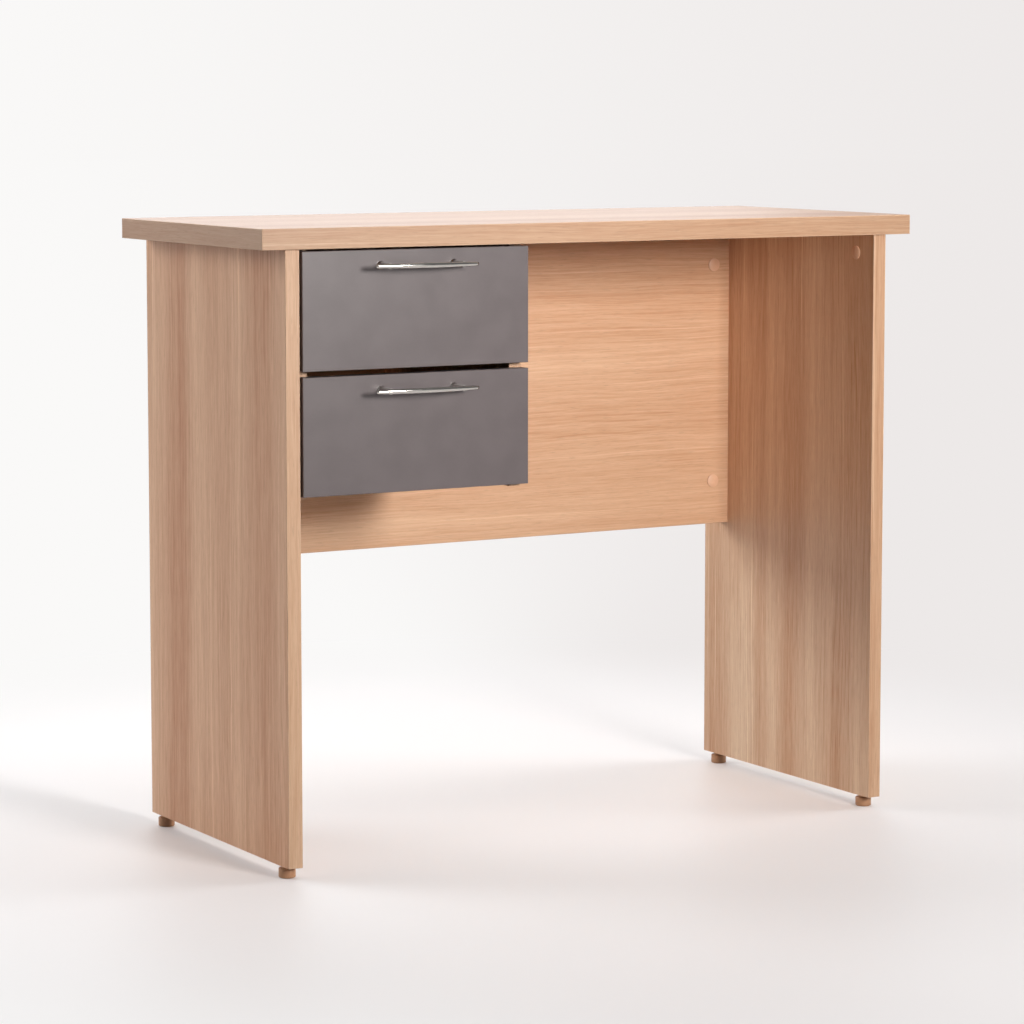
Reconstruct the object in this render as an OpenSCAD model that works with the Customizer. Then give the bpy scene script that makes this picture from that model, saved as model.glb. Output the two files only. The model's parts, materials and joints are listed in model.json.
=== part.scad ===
// Writing desk with a two-drawer pedestal, all in faced board.
// Millimetres. X runs left to right, Y front to back, Z up.
// The origin is on the floor, under the middle of the whole desk with its handles.

/* [Overall size] */
// Width of the worktop, left to right
desk_w = 900; // [850:10:1200]
// Depth of the worktop, front to back
desk_d = 385; // [380:5:600]
// Height of the worktop's top face above the floor
desk_h = 750; // [720:5:780]

/* [Boards] */
// Thickness of the worktop
top_t = 24; // [22:1:30]
// Thickness of the end panels and of the modesty panel
panel_t = 18; // [16:1:22]
// Thickness of the two sides of the drawer pedestal
pedestal_t = 16; // [16:1:18]
// Thickness of the edge banding
band_t = 1; // [0.5:0.5:2]

/* [Base] */
// How far the worktop stands out beyond each end panel
side_overhang = 32; // [10:1:60]
// How far the worktop stands out in front of the end panels
front_overhang = 7; // [5:1:12]
// Distance from the worktop's front edge to the modesty panel's front face
modesty_set = 331; // [320:1:340]
// Height of the modesty panel
modesty_h = 395; // [340:5:500]
// Clear height under the end panels, taken up by the feet
foot_gap = 14; // [13:1:20]

/* [Feet] */
// Diameter of a foot's pad
foot_d = 20; // [16:1:30]
// Height of a foot's pad
pad_h = 11; // [8:1:11]
// Distance from an end panel's edge to the middle of a foot
foot_inset = 23; // [18:1:40]
// Diameter of a foot's moulded stem
stem_d = 8; // [6:1:8]
// Length of stem above the underside of the end panel
stem_l = 20; // [12:1:20]

/* [Pedestal] */
// Height of the pedestal's sides, down from the worktop
pedestal_h = 287; // [280:1:300]
// Gap between the pedestal's front edges and the backs of the drawer fronts
buffer_gap = 1.5; // [1:0.5:3]

/* [Drawer fronts] */
// Width of a drawer front
front_w = 297; // [290:1:400]
// Height of a drawer front
front_h = 137; // [130:1:145]
// Thickness of a drawer front
front_t = 16; // [16:1:18]
// Distance from the worktop's front edge back to the face of the drawer fronts
front_set = 4; // [2:0.5:6]
// Gap between the left end panel and the drawer fronts
left_gap = 2; // [1:0.5:4]
// Gap between the worktop and the upper drawer front
top_gap = 2.5; // [2:0.5:4]
// Gap between the two drawer fronts
drawer_gap = 6.5; // [3:0.5:8]

/* [Drawer boxes] */
// Height of a drawer box
box_h = 95; // [80:1:95]
// Depth of a drawer box, front to back
box_d = 270; // [260:5:280]
// Thickness of a drawer box's boards
box_t = 12; // [12:1:16]
// Thickness of a drawer's bottom
bottom_t = 3; // [3:1:4]
// Distance from the lower edge of a drawer front up to its box
box_rise = 12; // [10:1:14]

/* [Runners] */
// Length of a closed runner
runner_l = 250; // [240:10:250]
// Width of a runner, from pedestal side to drawer box
runner_w = 12.7; // [12.7:0.1:13.5]
// Height of a runner
runner_h = 45; // [42:1:46]
// Thickness of a runner's steel
runner_t = 1.2; // [1:0.1:1.2]

/* [Handles] */
// Length of a handle's bar
bar_l = 133; // [120:1:160]
// Distance between the middles of the two posts
post_pitch = 96; // [64:32:96]
// How far the middle of the bar stands out from the drawer front
handle_reach = 32; // [28:1:36]
// How far the middle of the bar stands out beyond its ends
bar_bow = 5.5; // [3:0.5:8]
// Depth of the bar, front to back
bar_depth = 5; // [4:0.5:6]
// Height of the bar at its middle
bar_mid_h = 6.2; // [5.5:0.1:8]
// Height of the bar at its ends
bar_end_h = 4.6; // [4:0.1:5]
// Distance from the top of a drawer front down to its bar
handle_drop = 18; // [17:1:20]

/* [Fittings] */
// Diameter of a cam housing
cam_d = 15; // [12:1:15]
// Depth of a cam housing
cam_depth = 13; // [13:0.5:13.5]
// Distance from a board's end to the middle of a cam housing
cam_set = 24; // [24:1:34]
// Diameter of a cam's cover cap
cap_d = 17; // [16:1:20]
// How far a cover cap stands out from the board
cap_proud = 2.5; // [1:0.5:3]
// Diameter of a dowel
dowel_d = 8; // [6:1:8]
// Length of a dowel
dowel_l = 30; // [25:1:30]

/* [Hidden] */

// Names of the drawers, and of what each drawer is made of
DRAWERS = ["upper", "lower"];
SIDES = ["left", "right"];
DRAWER_PARTS = [
    "drawer_front", "front_edge_bands", "box_left_side", "box_right_side", "box_front", "box_back",
    "box_bottom", "box_screws", "front_screws", "rail_screws",
    "handle_bar", "handle_posts", "handle_screws"
];
RAILS = ["outer_rail", "middle_rail", "inner_rail"];
FEET = ["front_left_foot", "front_right_foot", "rear_left_foot", "rear_right_foot"];
FRAME_PARTS = [
    "worktop", "worktop_edge_bands", "left_end_panel", "left_panel_edge_bands",
    "right_end_panel", "right_panel_edge_bands", "modesty_panel", "modesty_edge_band",
    "pedestal_left_side", "pedestal_right_side", "pedestal_edge_bands", "cam_housings",
    "cam_bolts", "cam_cover_caps", "dowels", "pedestal_screws", "runner_screws", "foot_inserts"
];

// Directions
RIGHT = [1, 0, 0];
LEFT = [-1, 0, 0];
BACK = [0, 1, 0];
FRONT = [0, -1, 0];
UP = [0, 0, 1];

// Facets on round shapes: small fittings, and the handle's large arc
small_fn = 48;
arc_fn = 720;
// Overlap that lets a cut run clear of a face
eps = 1;

// Colours
oak = "#D2A581";
oak_edge = "#DDB48C";
grey_board = "#7F7877";
box_white = "#E6E3DE";
hardboard = "#D8D4CC";
zinc = "#B8BCC0";
nickel = "#C9C7C2";
beech = "#D9BE92";
brown_plastic = "#A9805C";
cap_plastic = "#D9A980";

// Worktop
handle_out = handle_reach - front_set;
front_y = -(desk_d + handle_out) / 2 + handle_out;
back_y = front_y + desk_d;
edge_x = desk_w / 2;
under_z = desk_h - top_t;

// End panels and modesty panel
panel_y = front_y + front_overhang;
outer_x = edge_x - side_overhang;
inner_x = outer_x - panel_t;
panel_mid_x = (inner_x + outer_x) / 2;
modesty_y = front_y + modesty_set;
modesty_z = under_z - modesty_h;

// Drawer fronts
face_y = front_y + front_set;
front_back_y = face_y + front_t;
front_x0 = -inner_x + left_gap;
front_x1 = front_x0 + front_w;
front_mid_x = (front_x0 + front_x1) / 2;
upper_z = under_z - top_gap - front_h;
lower_z = upper_z - drawer_gap - front_h;
DRAWER_Z = [upper_z, lower_z];

// Pedestal
ped_y = front_back_y + buffer_gap;
ped_x0 = -inner_x;
ped_x1 = front_x1;
bay_x0 = ped_x0 + pedestal_t;
bay_x1 = ped_x1 - pedestal_t;
ped_z = under_z - pedestal_h;

// Drawer boxes
box_x0 = bay_x0 + runner_w;
box_x1 = bay_x1 - runner_w;
box_y1 = front_back_y + box_d;
groove_depth = 5;
bottom_rise = 8;

// Runners. Distances across a runner are taken from the pedestal's side: a web is where
// a member's flat strip starts, and a lip is where its flanges end.
runner_set = 2;
rail_y = ped_y + runner_set;
outer_web = 0;
outer_lip = 10;
middle_web = 3.4;
middle_lip = 11;
inner_lip = 5.6;
outer_ball_gap = 2.6;
inner_ball_gap = 2.4;
middle_h = runner_h - 2 * runner_t - 2 * outer_ball_gap;
inner_h = middle_h - 2 * runner_t - 2 * inner_ball_gap;
rail_hole_r = 2;
RAIL_HOLES = [37, 128, 224];

// Handles
post_x = post_pitch / 2;
bow_r = pow(bar_l / 2, 2) / (2 * bar_bow) + bar_bow / 2;
bow_y = face_y - handle_reach + bar_depth / 2 + bow_r;
bar_taper = (bar_mid_h - bar_end_h) / 2;
bar_steps = 20;
post_r = 3.5;
flange_r = 5;
flange_t = 1.5;
flare_h = 3;
screw_r = 2;
screw_in_post = 12;
handle_head_r = 4;
handle_head_t = 2.5;

// Cam fittings. A row holds the middle of the housing on the board's face, the way
// that face looks, and the way the bolt runs.
bolt_r = 3;
bolt_bore_r = 3.5;
bolt_head_r = 3.4;
bolt_head_l = 3;
bolt_head_gap = 0.2;
bolt_set = 1;
bolt_grip = 11;
recess_r = 2;
recess_depth = 2;
end_cam_y = [panel_y + 37, back_y - 18];
modesty_cam_z = [modesty_z + 57, under_z - 51];
ped_cam_y = [ped_y + 40, ped_y + 270];
END_CAMS = [
    for (s = [-1, 1]) for (y = end_cam_y)
        [[s * inner_x, y, under_z - cam_set], [-s, 0, 0], UP]
];
MODESTY_CAMS = [
    for (s = [-1, 1]) for (z = modesty_cam_z)
        [[s * (inner_x - cam_set), modesty_y, z], FRONT, [s, 0, 0]]
];
PEDESTAL_CAMS = [
    for (y = ped_cam_y) for (s = [-1, 1])
        [[s < 0 ? bay_x0 : bay_x1, y, under_z - cam_set], [-s, 0, 0], UP]
];
// The caps are left off the two fittings that the pedestal covers
CAPPED = [
    END_CAMS[1], END_CAMS[2], END_CAMS[3], MODESTY_CAMS[0], MODESTY_CAMS[2], MODESTY_CAMS[3]
];

// Dowels: a row holds where the dowel crosses the joint, and the way it runs
end_dowel_y = [panel_y + 95, panel_y + 245];
modesty_dowel_z = [modesty_z + 110, modesty_z + 210, modesty_z + 300];
ped_dowel_x = [ped_x0 + pedestal_t / 2, ped_x1 - pedestal_t / 2];
ped_dowel_y = [ped_y + 100, ped_y + 200];
ped_dowel_z = [ped_z + 60, ped_z + 220];
DOWELS = [
    for (s = [-1, 1]) for (y = end_dowel_y) [[s * panel_mid_x, y, under_z], UP],
    for (s = [-1, 1]) for (z = modesty_dowel_z)
        [[s * inner_x, modesty_y + panel_t / 2, z], RIGHT],
    for (x = ped_dowel_x) for (y = ped_dowel_y) [[x, y, under_z], UP],
    for (z = ped_dowel_z) [[ped_dowel_x[1], modesty_y, z], BACK]
];
// A dowel goes less deep into a thin board's face than into an edge
dowel_in_face = 12;

// Wood screws
wood_r = 2;
csk_r = 4;
csk_h = 2.2;
pan_r = 3.5;
pan_t = 1.6;
ped_screw_l = 28;
ped_screw_y = [ped_y + 65, ped_y + 165, ped_y + 255];
ped_screw_z = [ped_z + 25, under_z - 42];
box_screw_l = 38;
box_screw_y = [front_back_y + box_t / 2, box_y1 - box_t / 2];
box_screw_rise = [20, box_h - 17];
front_screw_l = 24;
front_screw_x = [front_mid_x - 75, front_mid_x + 75];
front_screw_rise = [28, box_h - 25];
front_head_r = 4.5;
front_head_t = 2.2;
rail_screw_l = 11;

// Feet
insert_r = 5;
insert_l = stem_l + 2;
stem_clear = 0.05;
neck_r = 6;
neck_gap = 1;
foot_y = [panel_y + foot_inset, back_y - foot_inset];
FOOT_AT = [
    [-panel_mid_x, foot_y[0], 0], [panel_mid_x, foot_y[0], 0],
    [-panel_mid_x, foot_y[1], 0], [panel_mid_x, foot_y[1], 0]
];

// ---- Shapes used more than once ----

// A block from its lowest to its highest corner
module block(low, high) {
    translate(low) cube(high - low);
}

// Turns +Z to run along a row axis
module along(way) {
    turn = way.x > 0 ? [0, 90, 0] : way.x < 0 ? [0, -90, 0]
         : way.y > 0 ? [-90, 0, 0] : way.y < 0 ? [90, 0, 0]
         : way.z < 0 ? [180, 0, 0] : [0, 0, 0];
    rotate(turn) children();
}

// A round bar that starts at a point and runs along an axis
module rod(start, way, l, r) {
    translate(start) along(way) cylinder(r = r, h = l, $fn = small_fn);
}

// ---- Cam fittings, dowels and screws ----

// Half the thickness of the board that a cam sits in
function cam_axis_depth(cam) = (cam[0].x == bay_x0 || cam[0].x == bay_x1 ? pedestal_t : panel_t) / 2;
// A point on the bolt's axis, beside the middle of the housing
function bolt_start(cam) = cam[0] - cam_axis_depth(cam) * cam[1];

// What a cam fitting takes out of the board it sits in
module cam_bore(cam) {
    rod(cam[0] + eps * cam[1], -cam[1], cam_depth + eps, cam_d / 2);
    rod(bolt_start(cam), cam[2], cam_set + eps, bolt_bore_r);
}

// What its bolt takes out of the board it draws up to
module bolt_bore(cam) {
    rod(bolt_start(cam), cam[2], cam_set + bolt_grip, bolt_r);
}

module cam_housing(cam) {
    difference() {
        rod(cam[0], -cam[1], cam_depth, cam_d / 2);
        rod(bolt_start(cam), cam[2], cam_d, bolt_head_r + bolt_head_gap);
        rod(cam[0] + eps * cam[1], -cam[1], recess_depth + eps, recess_r);
    }
}

module cam_bolt(cam) {
    head = bolt_start(cam) + bolt_set * cam[2];
    rod(head, cam[2], bolt_head_l, bolt_head_r);
    rod(head, cam[2], cam_set + bolt_grip - bolt_set, bolt_r);
}

module cam_cap(cam) {
    rim = 0.5;
    rod(cam[0] - recess_depth * cam[1], cam[1], recess_depth + rim, recess_r);
    translate(cam[0]) along(cam[1]) {
        cylinder(d = cap_d, h = cap_proud - rim, $fn = small_fn);
        translate([0, 0, cap_proud - rim]) cylinder(d1 = cap_d, d2 = cap_d - 2, h = rim, $fn = small_fn);
    }
}

// How far a dowel reaches back from its joint. It starts in a board's edge, except at the
// left end panel, where it starts in the face.
function dowel_back(dowel) =
    dowel[1].x > 0 && dowel[0].x < 0 ? dowel_in_face : dowel_l - dowel_in_face;

module dowel_pin(dowel) {
    rod(dowel[0] - dowel_back(dowel) * dowel[1], dowel[1], dowel_l, dowel_d / 2);
}

module dowel_bores() {
    for (dowel = DOWELS) dowel_pin(dowel);
}

// A screw with a countersunk head flush at its start
module csk_screw(start, way, l) {
    translate(start) along(way) cylinder(r1 = csk_r, r2 = wood_r, h = csk_h, $fn = small_fn);
    rod(start, way, l, wood_r);
}

// A screw whose flat head stands on the face at its start
module pan_screw(start, way, l, head_r, head_t) {
    rod(start - head_t * way, way, head_t, head_r);
    rod(start - head_t * way, way, l + head_t, wood_r);
}

module pedestal_screw_set() {
    for (y = ped_screw_y) for (z = ped_screw_z) csk_screw([bay_x0, y, z], LEFT, ped_screw_l);
}

// ---- Worktop ----

module worktop() {
    color(oak) difference() {
        block([-edge_x + band_t, front_y + band_t, under_z], [edge_x - band_t, back_y - band_t, desk_h]);
        for (cam = END_CAMS) bolt_bore(cam);
        for (cam = PEDESTAL_CAMS) bolt_bore(cam);
        dowel_bores();
    }
}

module worktop_edge_bands() {
    color(oak_edge) {
        block([-edge_x, front_y, under_z], [edge_x, front_y + band_t, desk_h]);
        block([-edge_x, back_y - band_t, under_z], [edge_x, back_y, desk_h]);
        for (x = [-edge_x, edge_x - band_t])
            block([x, front_y + band_t, under_z], [x + band_t, back_y - band_t, desk_h]);
    }
}

// ---- End panels, side = -1 on the left and 1 on the right ----

module end_panel(side) {
    x0 = side < 0 ? -outer_x : inner_x;
    color(oak) difference() {
        block([x0, panel_y + band_t, foot_gap], [x0 + panel_t, back_y - band_t, under_z]);
        for (cam = END_CAMS) if (cam[0].x * side > 0) cam_bore(cam);
        for (cam = MODESTY_CAMS) bolt_bore(cam);
        dowel_bores();
        pedestal_screw_set();
        for (at = FOOT_AT) rod(at + [0, 0, foot_gap - eps], UP, insert_l + eps, insert_r);
    }
}

module end_panel_edge_bands(side) {
    x0 = side < 0 ? -outer_x : inner_x;
    color(oak_edge) for (y = [panel_y, back_y - band_t])
        block([x0, y, foot_gap], [x0 + panel_t, y + band_t, under_z]);
}

module left_end_panel() end_panel(-1);
module right_end_panel() end_panel(1);
module left_panel_edge_bands() end_panel_edge_bands(-1);
module right_panel_edge_bands() end_panel_edge_bands(1);

// ---- Modesty panel ----

module modesty_panel() {
    color(oak) difference() {
        block([-inner_x, modesty_y, modesty_z + band_t], [inner_x, modesty_y + panel_t, under_z]);
        for (cam = MODESTY_CAMS) cam_bore(cam);
        dowel_bores();
    }
}

module modesty_edge_band() {
    color(oak_edge)
        block([-inner_x, modesty_y, modesty_z], [inner_x, modesty_y + panel_t, modesty_z + band_t]);
}

// ---- Pedestal ----

module pedestal_side(x0) {
    color(oak) difference() {
        block([x0, ped_y + band_t, ped_z + band_t], [x0 + pedestal_t, modesty_y, under_z]);
        for (cam = PEDESTAL_CAMS) if (abs(cam[0].x - x0) <= pedestal_t) cam_bore(cam);
        dowel_bores();
        pedestal_screw_set();
        runner_screw_set();
    }
}

module pedestal_left_side() pedestal_side(ped_x0);
module pedestal_right_side() pedestal_side(bay_x1);

module pedestal_edge_bands() {
    color(oak_edge) for (x0 = [ped_x0, bay_x1]) {
        block([x0, ped_y, ped_z], [x0 + pedestal_t, ped_y + band_t, under_z]);
        block([x0, ped_y + band_t, ped_z], [x0 + pedestal_t, modesty_y, ped_z + band_t]);
    }
}

// ---- Fittings that are the same all over the desk ----

module cam_housings() {
    color(zinc) for (cam = concat(END_CAMS, MODESTY_CAMS, PEDESTAL_CAMS)) cam_housing(cam);
}

module cam_bolts() {
    color(zinc) for (cam = concat(END_CAMS, MODESTY_CAMS, PEDESTAL_CAMS)) cam_bolt(cam);
}

module cam_cover_caps() {
    color(cap_plastic) for (cam = CAPPED) cam_cap(cam);
}

module dowels() {
    color(beech) dowel_bores();
}

module pedestal_screws() {
    color(zinc) pedestal_screw_set();
}

// ---- Runners. Each member is a channel, drawn for the left of the bay. ----

// Height of the middle of a drawer's runners
function runner_z(drawer_z) = drawer_z + box_rise + box_h / 2;

// A channel with its web at one distance from the pedestal and its flanges at both edges
module channel(web, lip0, lip1, h) {
    block([web, 0, -h / 2], [web + runner_t, runner_l, h / 2]);
    for (z = [-h / 2, h / 2 - runner_t]) block([lip0, 0, z], [lip1, runner_l, z + runner_t]);
}

module outer_member() {
    difference() {
        channel(outer_web, outer_web, outer_lip, runner_h);
        for (y = RAIL_HOLES) rod([outer_web - eps, y, 0], RIGHT, runner_t + 2 * eps, rail_hole_r);
    }
}

module middle_member() {
    channel(middle_web, middle_web, middle_lip, middle_h);
}

module inner_member() {
    web = runner_w - runner_t;
    difference() {
        channel(web, inner_lip, runner_w, inner_h);
        for (y = RAIL_HOLES) rod([web - eps, y, 0], RIGHT, runner_t + 2 * eps, rail_hole_r);
    }
}

// Puts a left-hand runner member in the bay, on the left or mirrored on the right
module in_bay(drawer_z, side) {
    translate([side < 0 ? bay_x0 : bay_x1, rail_y, runner_z(drawer_z)])
        mirror([side < 0 ? 0 : 1, 0, 0]) color(zinc) children();
}

module outer_rail(drawer_z, side) {
    in_bay(drawer_z, side) outer_member();
}

module middle_rail(drawer_z, side) {
    in_bay(drawer_z, side) middle_member();
}

module inner_rail(drawer_z, side) {
    in_bay(drawer_z, side) inner_member();
}

// Screws that hold the outer members to the pedestal's sides
module runner_screw_set() {
    for (z = DRAWER_Z) for (y = RAIL_HOLES) for (side = [-1, 1])
        pan_screw([(side < 0 ? bay_x0 : bay_x1) - side * runner_t, rail_y + y, runner_z(z)],
            side * RIGHT, rail_screw_l, pan_r, pan_t);
}

module runner_screws() {
    color(zinc) runner_screw_set();
}

// Screws that hold the inner members to a drawer box
module rail_screw_set(drawer_z) {
    for (y = RAIL_HOLES) for (side = [-1, 1])
        pan_screw([(side < 0 ? box_x0 : box_x1) + side * runner_t, rail_y + y, runner_z(drawer_z)],
            -side * RIGHT, rail_screw_l, pan_r, pan_t);
}

module rail_screws(drawer_z) {
    color(zinc) rail_screw_set(drawer_z);
}

// ---- Drawers, each drawn from the height of the lower edge of its front ----

module drawer_front(drawer_z) {
    color(grey_board) difference() {
        block([front_x0 + band_t, face_y, drawer_z + band_t],
            [front_x1 - band_t, front_back_y, drawer_z + front_h - band_t]);
        handle_screw_set(drawer_z);
        front_screw_set(drawer_z);
    }
}

module front_edge_bands(drawer_z) {
    z1 = drawer_z + front_h;
    color(grey_board) {
        for (z = [drawer_z, z1 - band_t])
            block([front_x0, face_y, z], [front_x1, front_back_y, z + band_t]);
        for (x = [front_x0, front_x1 - band_t])
            block([x, face_y, drawer_z + band_t], [x + band_t, front_back_y, z1 - band_t]);
    }
}

// The bottom board, which the sides and the box's front are grooved for
module bottom_board(drawer_z, grow) {
    z0 = drawer_z + box_rise + bottom_rise;
    block([box_x0 + box_t - groove_depth, front_back_y + box_t - groove_depth, z0],
        [box_x1 - box_t + groove_depth, box_y1 + grow, z0 + bottom_t]);
}

module box_bottom(drawer_z) {
    color(hardboard) bottom_board(drawer_z, 0);
}

module box_side(drawer_z, x0) {
    z0 = drawer_z + box_rise;
    color(box_white) difference() {
        block([x0, front_back_y, z0], [x0 + box_t, box_y1, z0 + box_h]);
        bottom_board(drawer_z, eps);
        box_screw_set(drawer_z);
        rail_screw_set(drawer_z);
    }
}

module box_front(drawer_z) {
    z0 = drawer_z + box_rise;
    color(box_white) difference() {
        block([box_x0 + box_t, front_back_y, z0], [box_x1 - box_t, front_back_y + box_t, z0 + box_h]);
        bottom_board(drawer_z, 0);
        box_screw_set(drawer_z);
        front_screw_set(drawer_z);
    }
}

module box_back(drawer_z) {
    z0 = drawer_z + box_rise;
    color(box_white) difference() {
        block([box_x0 + box_t, box_y1 - box_t, z0 + bottom_rise + bottom_t],
            [box_x1 - box_t, box_y1, z0 + box_h]);
        box_screw_set(drawer_z);
    }
}

// Screws through the sides into the ends of the box's front and back
module box_screw_set(drawer_z) {
    for (y = box_screw_y) for (rise = box_screw_rise) {
        z = drawer_z + box_rise + rise;
        csk_screw([box_x0, y, z], RIGHT, box_screw_l);
        csk_screw([box_x1, y, z], LEFT, box_screw_l);
    }
}

module box_screws(drawer_z) {
    color(zinc) box_screw_set(drawer_z);
}

// Screws from inside the box into the drawer front
module front_screw_set(drawer_z) {
    for (x = front_screw_x) for (rise = front_screw_rise)
        pan_screw([x, front_back_y + box_t, drawer_z + box_rise + rise], FRONT,
            front_screw_l, front_head_r, front_head_t);
}

module front_screws(drawer_z) {
    color(zinc) front_screw_set(drawer_z);
}

// ---- Handles ----

// Height of a drawer's handle
function handle_z(drawer_z) = drawer_z + front_h - handle_drop;

// Half the bar's height at a place along it, from -1 at one end to 1 at the other
function bar_half_h(place) = bar_mid_h / 2 - bar_taper * place * place;

// The bar is a flat strip bent to an arc, and a little taller at its middle
module handle_bar(drawer_z) {
    places = [for (i = [0 : bar_steps]) 2 * i / bar_steps - 1];
    upper_edge = [for (p = places) [p * bar_l / 2, bar_half_h(p)]];
    lower_edge = [for (p = places) [-p * bar_l / 2, -bar_half_h(p)]];
    color(nickel) translate([front_mid_x, bow_y, handle_z(drawer_z)]) intersection() {
        difference() {
            cylinder(r = bow_r + bar_depth / 2, h = bar_mid_h + eps, center = true, $fn = arc_fn);
            cylinder(r = bow_r - bar_depth / 2, h = bar_mid_h + 2 * eps, center = true, $fn = arc_fn);
        }
        rotate([90, 0, 0]) linear_extrude(height = bow_r + bar_depth) polygon(concat(upper_edge, lower_edge));
    }
}

// Each post flares out to a flange on the drawer front and ends on the back of the bar
module handle_posts(drawer_z) {
    color(nickel) for (x = [-post_x, post_x]) intersection() {
        difference() {
            translate([front_mid_x + x, face_y, handle_z(drawer_z)]) along(FRONT) {
                cylinder(r = flange_r, h = flange_t, $fn = small_fn);
                translate([0, 0, flange_t])
                    cylinder(r1 = flange_r, r2 = post_r, h = flare_h, $fn = small_fn);
                cylinder(r = post_r, h = handle_reach, $fn = small_fn);
            }
            handle_screw_set(drawer_z);
        }
        translate([front_mid_x, bow_y, handle_z(drawer_z)])
            cylinder(r = bow_r - bar_depth / 2, h = 4 * flange_r, center = true, $fn = arc_fn);
    }
}

module handle_screw_set(drawer_z) {
    for (x = [-post_x, post_x])
        translate([front_mid_x + x, front_back_y, handle_z(drawer_z)]) {
            rod([0, handle_head_t, 0], FRONT, handle_head_t, handle_head_r);
            rod([0, handle_head_t, 0], FRONT, handle_head_t + front_t + screw_in_post, screw_r);
        }
}

module handle_screws(drawer_z) {
    color(zinc) handle_screw_set(drawer_z);
}

// ---- Feet ----

module foot_inserts() {
    color(zinc) for (at = FOOT_AT) difference() {
        rod(at + [0, 0, foot_gap], UP, insert_l, insert_r);
        rod(at + [0, 0, foot_gap - eps], UP, insert_l + 2 * eps, stem_d / 2 + stem_clear);
    }
}

// A moulded pad, a neck and a stem that turns in its insert
module foot(at) {
    bevel = 1.5;
    crown = 0.8;
    color(brown_plastic) translate(at) rotate_extrude($fn = small_fn) polygon([
        [0, 0], [foot_d / 2 - bevel, 0], [foot_d / 2, bevel], [foot_d / 2, pad_h - crown],
        [foot_d / 2 - crown, pad_h], [neck_r, pad_h], [neck_r, foot_gap - neck_gap],
        [stem_d / 2, foot_gap - neck_gap], [stem_d / 2, foot_gap + stem_l], [0, foot_gap + stem_l]
    ]);
}

// ---- The desk ----

worktop();
worktop_edge_bands();
left_end_panel();
left_panel_edge_bands();
right_end_panel();
right_panel_edge_bands();
modesty_panel();
modesty_edge_band();
pedestal_left_side();
pedestal_right_side();
pedestal_edge_bands();
cam_housings();
cam_bolts();
cam_cover_caps();
dowels();
pedestal_screws();
runner_screws();
foot_inserts();
for (i = [0 : len(FEET) - 1]) {
    foot(FOOT_AT[i]);
}
for (i = [0 : len(DRAWERS) - 1]) {
    name = DRAWERS[i];
    z = DRAWER_Z[i];
    drawer_front(z);
    front_edge_bands(z);
    box_side(z, box_x0);
    box_side(z, box_x1 - box_t);
    box_front(z);
    box_back(z);
    box_bottom(z);
    box_screws(z);
    front_screws(z);
    rail_screws(z);
    handle_bar(z);
    handle_posts(z);
    handle_screws(z);
    for (j = [0, 1]) {
        side = j == 0 ? -1 : 1;
        rail = str(name, "_", SIDES[j], "_");
        outer_rail(z, side);
        middle_rail(z, side);
        inner_rail(z, side);
    }
}
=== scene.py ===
"""Looks for the writing desk: finished edges, faced boards, polished handles, and a pale studio.

Metres throughout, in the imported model's own frame: X to the right, Y to the back, Z up.
"""

import json
from math import cos, pi, radians, sin, sqrt

import bmesh
import bpy
from mathutils import Matrix, Vector

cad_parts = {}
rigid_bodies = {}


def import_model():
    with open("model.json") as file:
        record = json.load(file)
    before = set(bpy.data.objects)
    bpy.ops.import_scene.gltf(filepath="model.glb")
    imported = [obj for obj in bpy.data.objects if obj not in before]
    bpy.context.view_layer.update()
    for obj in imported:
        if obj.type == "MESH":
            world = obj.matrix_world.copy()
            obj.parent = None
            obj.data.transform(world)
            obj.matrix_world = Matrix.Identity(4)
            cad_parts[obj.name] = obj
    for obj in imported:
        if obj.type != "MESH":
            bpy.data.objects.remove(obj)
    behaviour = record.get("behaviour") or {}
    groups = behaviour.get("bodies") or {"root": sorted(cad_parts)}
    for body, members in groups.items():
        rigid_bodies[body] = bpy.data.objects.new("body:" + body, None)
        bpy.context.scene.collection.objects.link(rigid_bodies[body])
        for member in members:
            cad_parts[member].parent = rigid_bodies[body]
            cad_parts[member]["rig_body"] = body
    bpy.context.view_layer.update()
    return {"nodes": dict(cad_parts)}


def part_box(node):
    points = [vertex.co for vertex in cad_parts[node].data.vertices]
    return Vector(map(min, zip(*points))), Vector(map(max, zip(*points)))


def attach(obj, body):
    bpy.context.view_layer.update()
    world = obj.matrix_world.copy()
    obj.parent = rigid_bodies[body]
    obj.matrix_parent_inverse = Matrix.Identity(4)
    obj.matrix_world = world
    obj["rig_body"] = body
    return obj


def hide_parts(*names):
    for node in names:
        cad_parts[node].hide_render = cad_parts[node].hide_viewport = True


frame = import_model()

MM = 0.001
X, Y, Z = 0, 1, 2
DRAWERS = ("upper", "lower")
SIDES = ("left", "right")
FEET = ("front_left_foot", "front_right_foot", "rear_left_foot", "rear_right_foot")

# ---- Camera ----

CAMERA_AT = Vector((-2.207, -3.749, 0.909))
CAMERA_YAW = radians(30.24)
CAMERA_PITCH = radians(-5.90)
LENS = 124.3
SHIFT_UP = -0.0586


def make_camera():
    data = bpy.data.cameras.new("camera")
    data.lens = LENS
    data.shift_y = SHIFT_UP
    camera = bpy.data.objects.new("camera", data)
    camera.location = CAMERA_AT
    camera.rotation_euler = (pi / 2 + CAMERA_PITCH, 0, -CAMERA_YAW)
    bpy.context.scene.collection.objects.link(camera)
    bpy.context.scene.camera = camera


# ---- Node trees ----


def add(tree, kind, inputs=(), **settings):
    """Adds a node. An input is a plain value or another node's output."""
    made = tree.nodes.new("ShaderNode" + kind)
    for key, value in settings.items():
        setattr(made, key, value)
    for key, value in dict(inputs).items():
        if isinstance(value, bpy.types.NodeSocket):
            tree.links.new(value, made.inputs[key])
        else:
            made.inputs[key].default_value = value
    return made


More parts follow.
